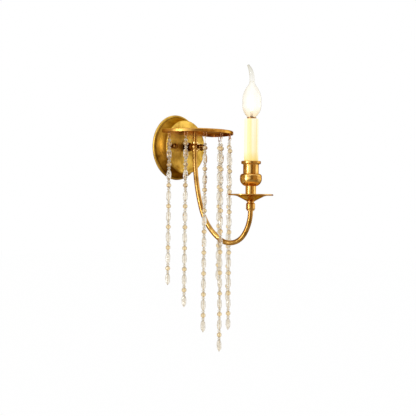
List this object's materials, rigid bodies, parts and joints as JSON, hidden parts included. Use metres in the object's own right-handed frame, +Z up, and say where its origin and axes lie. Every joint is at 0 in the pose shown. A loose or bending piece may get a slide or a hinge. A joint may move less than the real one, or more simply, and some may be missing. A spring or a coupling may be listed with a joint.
{
  "type": "crystal wall sconce",
  "caption": "Brass wall light with a J-shaped arm, an electric candle, and strands of crystal beads hanging from a small tray.",
  "frame": {"origin": "centre of the mounting bracket's back face, on the wall plane", "axes": "+Y into the wall, +Z up, +X to the right when facing the wall"},
  "size_m": [0.1334, 0.1994, 0.4833],
  "materials": {
    "satin_brass": "satin antique brass",
    "zinc_steel": "zinc plated",
    "plain_brass": "pressed",
    "white_insulator": "moulded",
    "lead_insulation": "extruded",
    "candle_resin": "translucent, lit from inside",
    "copper_wire": "drawn wire",
    "nickel_cap": "pressed",
    "black_glass": "fused glass bead",
    "bulb_glass": "clear",
    "filament": "glowing",
    "champagne_gold_bead": "faceted, gold lustre",
    "clear_crystal": "faceted, polished"
  },
  "bodies": {
    "fixture": {"mounting_bracket": "zinc_steel", "bracket_studs": "zinc_steel", "terminal_block": "white_insulator", "backplate": "satin_brass", "cap_nuts": "satin_brass", "plate_nipple": "zinc_steel", "nipple_nut": "zinc_steel", "boss_collar": "satin_brass", "knuckle": "satin_brass", "front_cap": "satin_brass", "stem_tube": "satin_brass", "bead_tray": "satin_brass", "tray_nut": "satin_brass", "tray_eyes": "copper_wire", "arm_tube": "satin_brass", "arm_collar": "satin_brass", "threaded_rod": "zinc_steel", "bobeche": "satin_brass", "cup_stem": "satin_brass", "candle_cup": "satin_brass", "cup_nut": "zinc_steel", "candle_sleeve": "candle_resin", "holder_post": "zinc_steel", "lamp_holder": "white_insulator", "screw_shell": "plain_brass", "holder_contact": "plain_brass", "supply_leads": "lead_insulation"},
    "bulb": {"bulb_cap": "nickel_cap", "bulb_contact": "black_glass", "bulb_glass": "bulb_glass", "glass_stem": "bulb_glass", "filament": "filament"},
    "link_1": {"hanging_link_1": "copper_wire"},
    "strand_1": {"strand_1_wire": "copper_wire", "strand_1_gold_beads": "champagne_gold_bead", "strand_1_clear_beads": "clear_crystal"},
    "link_2": {"hanging_link_2": "copper_wire"},
    "strand_2": {"strand_2_wire": "copper_wire", "strand_2_gold_beads": "champagne_gold_bead", "strand_2_clear_beads": "clear_crystal"},
    "link_3": {"hanging_link_3": "copper_wire"},
    "strand_3": {"strand_3_wire": "copper_wire", "strand_3_gold_beads": "champagne_gold_bead", "strand_3_clear_beads": "clear_crystal"},
    "link_4": {"hanging_link_4": "copper_wire"},
    "strand_4": {"strand_4_wire": "copper_wire", "strand_4_gold_beads": "champagne_gold_bead", "strand_4_clear_beads": "clear_crystal"},
    "link_5": {"hanging_link_5": "copper_wire"},
    "strand_5": {"strand_5_wire": "copper_wire", "strand_5_gold_beads": "champagne_gold_bead", "strand_5_clear_beads": "clear_crystal"},
    "link_6": {"hanging_link_6": "copper_wire"},
    "strand_6": {"strand_6_wire": "copper_wire", "strand_6_gold_beads": "champagne_gold_bead", "strand_6_clear_beads": "clear_crystal"},
    "link_7": {"hanging_link_7": "copper_wire"},
    "strand_7": {"strand_7_wire": "copper_wire", "strand_7_gold_beads": "champagne_gold_bead", "strand_7_clear_beads": "clear_crystal"}
  },
  "joints": [
    {"name": "strand_1_swing", "type": "hinge", "parent": "fixture", "child": "link_1", "pos_m": [-0.0624, -0.048, 0.0226], "axis": [0, 1, 0], "range_deg": [-8, 45]},
    {"name": "strand_1_sway", "type": "hinge", "parent": "link_1", "child": "strand_1", "pos_m": [-0.0624, -0.048, 0.0146], "axis": [-1, 0, 0], "range_deg": [-9, 1.8]},
    {"name": "strand_2_swing", "type": "hinge", "parent": "fixture", "child": "link_2", "pos_m": [-0.05404, -0.0792, 0.0226], "axis": [-0.5, 0.866, 0], "range_deg": [-8, 45]},
    {"name": "strand_2_sway", "type": "hinge", "parent": "link_2", "child": "strand_2", "pos_m": [-0.05404, -0.0792, 0.0146], "axis": [-0.866, -0.5, 0], "range_deg": [-1.8, 1.8]},
    {"name": "strand_3_swing", "type": "hinge", "parent": "fixture", "child": "link_3", "pos_m": [-0.0312, -0.10204, 0.0226], "axis": [-0.866, 0.5, 0], "range_deg": [-8, 45]},
    {"name": "strand_3_sway", "type": "hinge", "parent": "link_3", "child": "strand_3", "pos_m": [-0.0312, -0.10204, 0.0146], "axis": [-0.5, -0.866, 0], "range_deg": [-1.8, 1.8]},
    {"name": "strand_4_swing", "type": "hinge", "parent": "fixture", "child": "link_4", "pos_m": [0, -0.1104, 0.0226], "axis": [-1, 0, 0], "range_deg": [-1, 6.5]},
    {"name": "strand_4_sway", "type": "hinge", "parent": "link_4", "child": "strand_4", "pos_m": [0, -0.1104, 0.0146], "axis": [0, -1, 0], "range_deg": [-1.8, 0]},
    {"name": "strand_5_swing", "type": "hinge", "parent": "fixture", "child": "link_5", "pos_m": [0.0312, -0.10204, 0.0226], "axis": [-0.866, -0.5, 0], "range_deg": [-5, 10]},
    {"name": "strand_5_sway", "type": "hinge", "parent": "link_5", "child": "strand_5", "pos_m": [0.0312, -0.10204, 0.0146], "axis": [0.5, -0.866, 0], "range_deg": [-1.8, 1.8]},
    {"name": "strand_6_swing", "type": "hinge", "parent": "fixture", "child": "link_6", "pos_m": [0.05404, -0.0792, 0.0226], "axis": [-0.5, -0.866, 0], "range_deg": [-8, 45]},
    {"name": "strand_6_sway", "type": "hinge", "parent": "link_6", "child": "strand_6", "pos_m": [0.05404, -0.0792, 0.0146], "axis": [0.866, -0.5, 0], "range_deg": [-1.8, 1.8]},
    {"name": "strand_7_swing", "type": "hinge", "parent": "fixture", "child": "link_7", "pos_m": [0.0624, -0.048, 0.0226], "axis": [0, -1, 0], "range_deg": [-8, 45]},
    {"name": "strand_7_sway", "type": "hinge", "parent": "link_7", "child": "strand_7", "pos_m": [0.0624, -0.048, 0.0146], "axis": [1, 0, 0], "range_deg": [-1.8, 9]},
    {"name": "bulb_turn", "type": "hinge", "parent": "fixture", "child": "bulb", "pos_m": [0.01759, -0.1616, 0], "axis": [0, 0, 1], "range_deg": [0, 990]}
  ]
}
